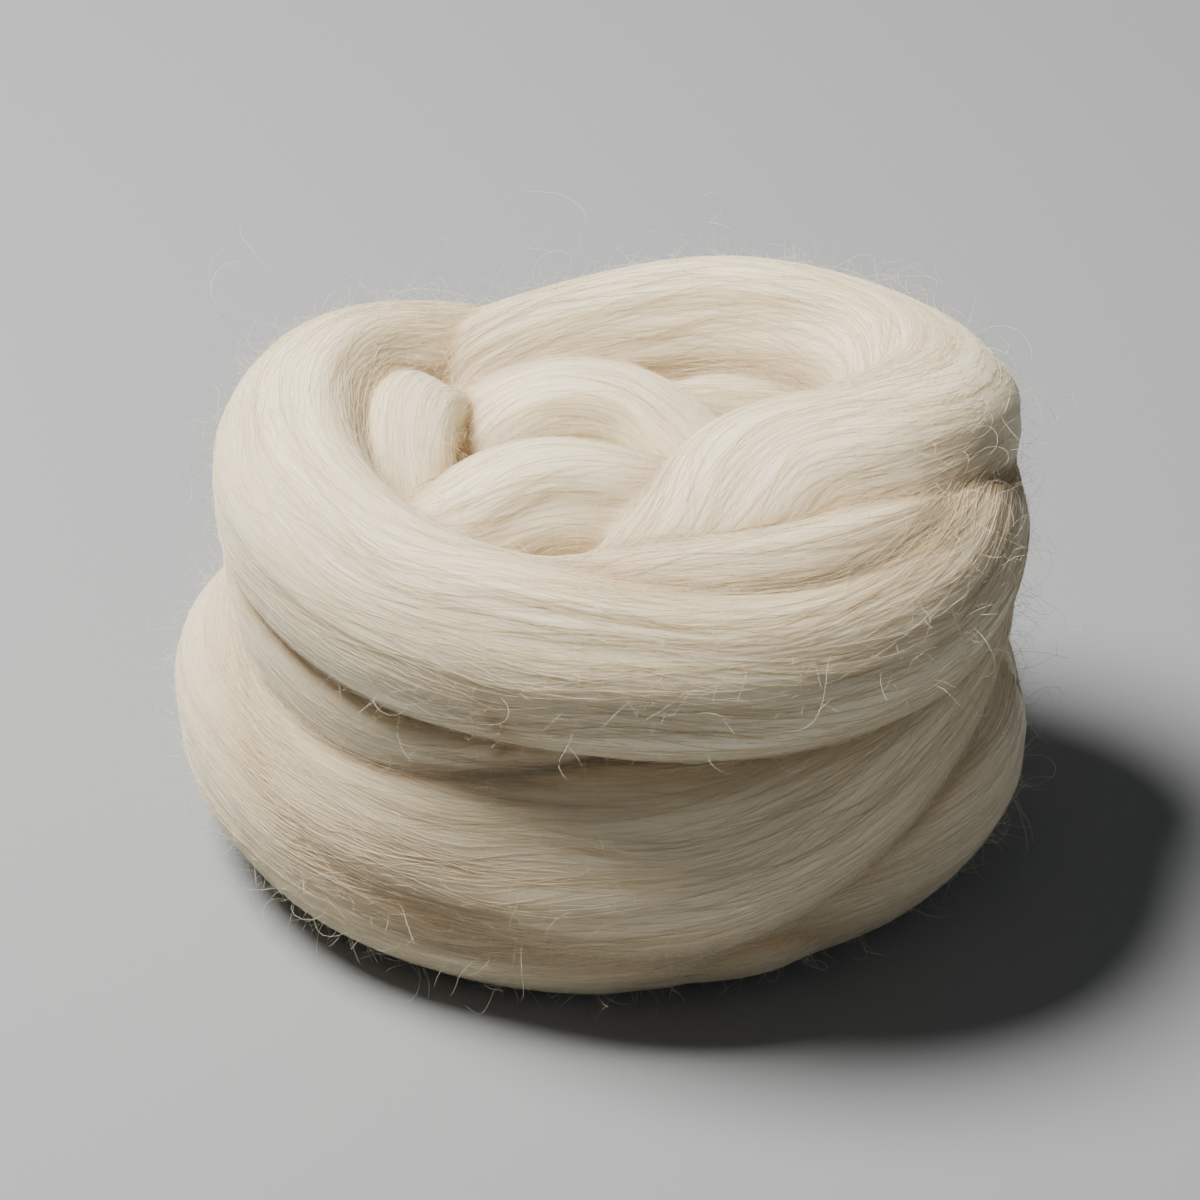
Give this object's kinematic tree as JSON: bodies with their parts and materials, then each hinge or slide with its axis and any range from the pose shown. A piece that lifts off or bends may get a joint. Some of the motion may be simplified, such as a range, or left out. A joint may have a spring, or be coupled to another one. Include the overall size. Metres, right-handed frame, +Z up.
{
  "type": "wool roving",
  "caption": "One length of combed cream wool roving laid round on itself into a soft, hollow-topped nest, ready for felting or spinning.",
  "frame": {"origin": "middle of the nest's box, on the surface that it stands on", "axes": "+Z up out of the hollow, +X to the right along the nest's widest way, +Y to the back, away from the low front of the rim"},
  "size_m": [0.17, 0.1476, 0.1036],
  "materials": {
    "combed_wool": "loose silky fibres, undyed cream"
  },
  "bodies": {
    "root": {"roving": "combed_wool"}
  },
  "joints": []
}
